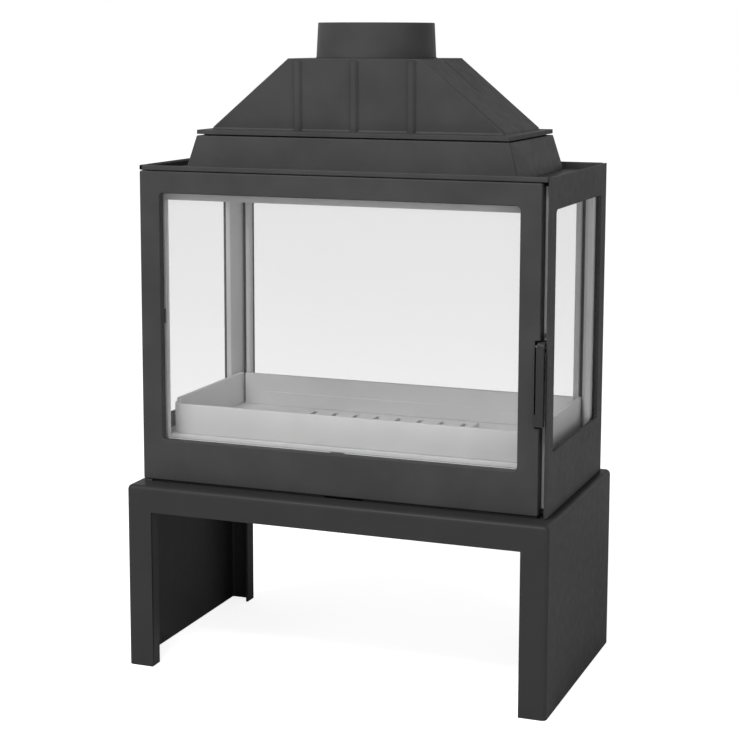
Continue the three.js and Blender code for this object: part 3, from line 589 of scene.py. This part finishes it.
def make_dome():
    """The smoke dome: a thick flange, a pyramid with soft hips, its ribs and the collar's seat."""
    low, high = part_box("smoke_dome")
    middle = middle_of("smoke_dome")
    flange = centred(high.x, (high.y - low.y) / 2, middle)
    flange_top = low.z + DOME_FLANGE
    head_z = high.z - SEAT_HEIGHT
    under_roof = head_z - DOME_ROOF
    foot_area = centred(*DOME_FOOT, middle)
    head_area = centred(*DOME_HEAD, middle)
    mouth = (*centred(MOUTH_RADIUS, MOUTH_RADIUS, middle), MOUTH_RADIUS)
    seat = (*centred(SEAT_RADIUS, SEAT_RADIUS, middle), SEAT_RADIUS)
    loops = [(*flange, DOME_FLANGE_CORNER, low.z)]
    loops += round_over(flange, DOME_FLANGE_CORNER, flange_top, -1, MM, 1, True)
    for step in range(ROUND_STEPS + 1):
        angle = math.radians(90 * step / ROUND_STEPS)
        fillet = grown(foot_area, DOME_FILLET * (1 - math.sin(angle)))
        loops.append((*fillet, HIP + DOME_FILLET, flange_top + DOME_FILLET * (1 - math.cos(angle))))
    loops += round_over(head_area, HIP, head_z, -1, MM, 1, True)
    loops += [(*mouth, head_z), (*mouth, under_roof),
              (*grown(head_area, -DOME_WALL), MM, under_roof),
              (*grown(foot_area, -DOME_WALL), MM, low.z)]
    bm = bmesh.new()
    loft(bm, "xy", loops)
    rib_foot = flange_top - MM
    rib_head = head_z - RIB_END
    end_ribs, front_ribs = [((foot, rib_foot), (head, rib_head))
                            for foot, head in zip(DOME_FOOT, DOME_HEAD)]
    for side in (-1, 1):
        for offset in (-RIB_SPACING, 0, RIB_SPACING):
            dome_rib(bm, middle, Vector((0, side)), offset, *front_ribs)
        dome_rib(bm, middle, Vector((side, 0)), 0, *end_ribs)
    loft(bm, "xy", [(*seat, head_z - MM), (*seat, high.z), (*mouth, high.z), (*mouth, head_z - MM)])
    finish_hand_made("smoke_dome", bm)


COLLAR_TAPER = 2.8 * MM
COLLAR_WALL = 5 * MM
COLLAR_LIP = 1.5 * MM
COLLAR_TURNS = 128


def make_collar():
    """The flue collar: a slightly tapered tube with a round lip."""
    low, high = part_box("flue_collar")
    middle = middle_of("flue_collar")
    foot = high.x
    head = foot - COLLAR_TAPER
    lip = []
    for step in range(ROUND_STEPS + 1):
        angle = math.radians(90 * step / ROUND_STEPS)
        lip.append((COLLAR_LIP * (1 - math.cos(angle)), high.z - COLLAR_LIP * (1 - math.sin(angle))))
    profile = [(foot, low.z)]
    profile += [(head - move, z) for move, z in lip]
    profile += [(head - COLLAR_WALL + move, z) for move, z in reversed(lip)]
    profile.append((foot - COLLAR_WALL, low.z))
    bm = bmesh.new()
    rings = []
    for turn in range(COLLAR_TURNS):
        angle = 2 * math.pi * turn / COLLAR_TURNS
        rings.append([bm.verts.new((r * math.cos(angle), middle + r * math.sin(angle), z))
                      for r, z in profile])
    skin(bm, rings, True)
    finish_hand_made("flue_collar", bm, 50)


# ------------------------------------------------------------------ bench

SHEET = 4 * MM
BEND = 8 * MM
LEG = 44.7 * MM
RAIL = 44.2 * MM
LIP = 26 * MM
LIP_EDGE = 0.5 * MM
LIP_GAP = 0.2 * MM


def bench_shell(name):
    """The whole folded bench without its lips: a rounded open box, cut out at the front and rear."""
    _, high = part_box("bench_top")
    x, y, top = high
    outer = (-x, x, -y, y)
    inner = grown(outer, -SHEET)
    loops = round_over(outer, BEND, top, -1, BEND, 1, True)[::-1]
    loops += [(*outer, BEND, 0), (*inner, BEND - SHEET, 0)]
    loops += round_over(inner, BEND - SHEET, top - SHEET, -1, BEND - SHEET, 1, True)
    bm = bmesh.new()
    loft(bm, "xy", loops, capped=True)
    piece = new_piece(name, bm)
    carve(piece, [tool_block((LEG - x, -1, -MM), (x - LEG, 1, top - RAIL))])
    return piece


def add_lips(piece, x_range, z_range):
    """Adds the folded-back lips at the front and rear."""
    _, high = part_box("bench_top")
    bm = bmesh.new()
    bm.from_mesh(piece.data)
    x0, x1 = sorted(x_range)
    z0, z1 = z_range
    for side in (-1, 1):
        y0, y1 = sorted((side * (high.y - SHEET / 2), side * (high.y - LIP)))
        block(bm, (x0, y0, z0), (x1, y1, z1), LIP_EDGE)
    bm.to_mesh(piece.data)
    bm.free()


def mitre_wedge(side):
    """Everything on one side of the bench that lies under the 45-degree mitre."""
    _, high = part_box("bench_top")
    inner = high.x - LEG
    rail = high.z - RAIL
    far = 100 * MM
    outline = [(inner, -MM), (inner, rail), (inner + far, rail + far), (inner + far, -MM)]
    bm = bmesh.new()
    ends = [[bm.verts.new((side * x, y, z)) for x, z in outline] for y in (-1, 1)]
    bm.faces.new(ends[0])
    bm.faces.new(ends[1])
    skin(bm, ends, False)
    return new_piece("tool", bm)


def make_bench():
    _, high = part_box("bench_top")
    inner = high.x - LEG
    rail = high.z - RAIL
    top = bench_shell("bench_top_look")
    carve(top, [mitre_wedge(-1), mitre_wedge(1)])
    add_lips(top, (-inner, inner), (rail, rail + SHEET))
    shade(top)
    finish_piece(top, "bench_top")
    for node, side in (("bench_left_side", -1), ("bench_right_side", 1)):
        piece = bench_shell(node + "_look")
        carve(piece, [mitre_wedge(side)], "INTERSECT")
        add_lips(piece, (side * inner, side * (inner + SHEET)), (0, rail - LIP_GAP))
        shade(piece)
        finish_piece(piece, node)


# ------------------------------------------------------------------ hearth


PAN_RIM_LAP = 6 * MM


def make_hearth():
    outer, low, high = area_of("hearth_plate", "xy")
    pan, _, _ = area_of("ash_pan", "xy")
    bm = bmesh.new()
    window_ring(bm, "xy", outer, grown(pan, -PAN_RIM_LAP), high, low, MM, window_corner=2 * MM)
    finish_hand_made("hearth_plate", bm)


GRATE_SLOT = 8 * MM
GRATE_PITCH = 39.5 * MM
GRATE_SLOTS = 8
GRATE_END = 16 * MM
GRATE_MIDDLE_BAR = (-2 * MM, 12 * MM)


def make_grate():
    """Cast bars between narrow slots, in a frame, with a bar across the middle."""
    outer, low, high = area_of("grate", "xy")
    reach = ((GRATE_SLOTS - 1) * GRATE_PITCH + GRATE_SLOT) / 2
    ring = (-reach, reach, outer[2] + GRATE_END, outer[3] - GRATE_END)
    bm = bmesh.new()
    window_ring(bm, "xy", outer, ring, high, low, MM, window_corner=MM)
    y0, y1 = GRATE_MIDDLE_BAR
    block(bm, (-reach - MM, y0, low), (reach + MM, y1, high), MM)
    for number in range(GRATE_SLOTS - 1):
        x = -reach + GRATE_SLOT + number * GRATE_PITCH
        block(bm, (x, ring[2] - MM, low), (x + GRATE_PITCH - GRATE_SLOT, ring[3] + MM, high), MM)
    finish_hand_made("grate", bm)


PAN_RIM = 8 * MM
PAN_SHEET = 2 * MM
PAN_CORNER = 4 * MM


def make_ash_pan():
    rim, low, high = area_of("ash_pan", "xy")
    tub = grown(rim, -PAN_RIM)
    inner = grown(tub, -PAN_SHEET)
    bm = bmesh.new()
    loft(bm, "xy", [(*inner, PAN_CORNER, low + PAN_SHEET), (*inner, PAN_CORNER, high),
                    (*rim, PAN_CORNER, high), (*rim, PAN_CORNER, high - PAN_SHEET),
                    (*tub, PAN_CORNER + PAN_SHEET, high - PAN_SHEET),
                    (*tub, PAN_CORNER + PAN_SHEET, low)], capped=True)
    finish_hand_made("ash_pan", bm)


# ------------------------------------------------------------------ all the pieces

make_bench()
glazed_frame("left_side_frame", "left_glass", "yz", -1)
glazed_frame("right_side_frame", "right_glass", "yz", 1)
glazed_frame("rear_frame", "rear_glass", "xz", 1)
make_front_frame()
make_top_casting()
make_door()
make_hood()
make_dome()
make_collar()
make_hearth()
make_grate()
make_ash_pan()

EDGE = {"cast_black": 1.2 * MM, "sheet_black": 0.6 * MM, "cast_grey": 1.5 * MM,
        "steel_fastener": 0.3 * MM, "pane_glass": 0.6 * MM, "rope_seal": 0.2 * MM}
OWN_EDGE = {"handle_lever": 1.8 * MM, "door_rope_gasket": 2.2 * MM, "hood_gasket": 0.5 * MM,
            "rear_log_guard": 0.4 * MM}
for node in sorted(set(nodes) - made):
    rounded_copy(node, OWN_EDGE.get(node, EDGE[SLOT_OF[node]]))


# ------------------------------------------------------------------ stage

WALL = 0.75
WALL_TOP = 0.10
CEILING = 0.12
CEILING_START = 0.55
SUN = 0.3
SOFTBOX = 85
EDGE_STRIP = 12
FLOOR_GLOW = 0.86
FLOOR_HALF_WIDTH = 30


def make_stage():
    """A pale floor that glows for the camera only, so it meets the white background."""
    bm = bmesh.new()
    bmesh.ops.create_grid(bm, x_segments=1, y_segments=1, size=FLOOR_HALF_WIDTH)
    floor = new_piece("floor", bm)
    material, nodes_, links = new_material("pale_floor")
    shader = nodes_["Principled BSDF"]
    shader.inputs["Base Color"].default_value = grey(0.8)
    shader.inputs["Emission Color"].default_value = grey(FLOOR_GLOW)
    seen = nodes_.new("ShaderNodeLightPath").outputs["Is Camera Ray"]
    links.new(seen, shader.inputs["Emission Strength"])
    shader.inputs["Roughness"].default_value = 1.0
    shader.inputs["Specular IOR Level"].default_value = 0.0
    floor.data.materials.append(material)
    floor.location.z = -0.5 * MM


def aimed(light, place, aim):
    light.location = place
    light.rotation_euler = (Vector(aim) - Vector(place)).to_track_quat("-Z", "Y").to_euler()
    bpy.context.scene.collection.objects.link(light)


def area_light(name, place, aim, size, power):
    data = bpy.data.lights.new(name, "AREA")
    data.shape = "RECTANGLE"
    data.size, data.size_y = size
    data.energy = power
    aimed(bpy.data.objects.new(name, data), place, aim)


def make_world():
    """Bright studio walls under a dim ceiling; what the camera sees behind the object is white."""
    world = bpy.data.worlds.new("studio")
    world.use_nodes = True
    nodes_, links = world.node_tree.nodes, world.node_tree.links
    place = nodes_.new("ShaderNodeTexCoord").outputs["Generated"]
    split = nodes_.new("ShaderNodeSeparateXYZ")
    links.new(place, split.inputs["Vector"])
    walls = nodes_["Background"]
    glow = ramp(nodes_, links, split.outputs["Z"], WALL_TOP, CEILING_START,
                grey(WALL), grey(CEILING))
    links.new(glow, walls.inputs["Color"])
    white = nodes_.new("ShaderNodeBackground")
    white.inputs["Color"].default_value = grey(1)
    seen = nodes_.new("ShaderNodeLightPath").outputs["Is Camera Ray"]
    mix = nodes_.new("ShaderNodeMixShader")
    links.new(seen, mix.inputs["Fac"])
    links.new(walls.outputs["Background"], mix.inputs[1])
    links.new(white.outputs["Background"], mix.inputs[2])
    links.new(mix.outputs["Shader"], nodes_["World Output"].inputs["Surface"])
    bpy.context.scene.world = world


def make_lights():
    make_world()
    sun = bpy.data.lights.new("sun", "SUN")
    sun.energy = SUN
    sun.angle = math.radians(25)
    aimed(bpy.data.objects.new("sun", sun), (-1.6, -2.6, 2.9), (0, 0, 0.6))
    area_light("front_softbox", (-0.6, -2.2, 3.2), (0, 0, 0.5), (2.4, 0.7), SOFTBOX)
    area_light("edge_strip", (2.6, -1.3, 0.8), (0, 0, 0.6), (0.25, 2.0), EDGE_STRIP)


make_camera()
make_stage()
make_lights()
bpy.context.scene.view_settings.view_transform = "Standard"
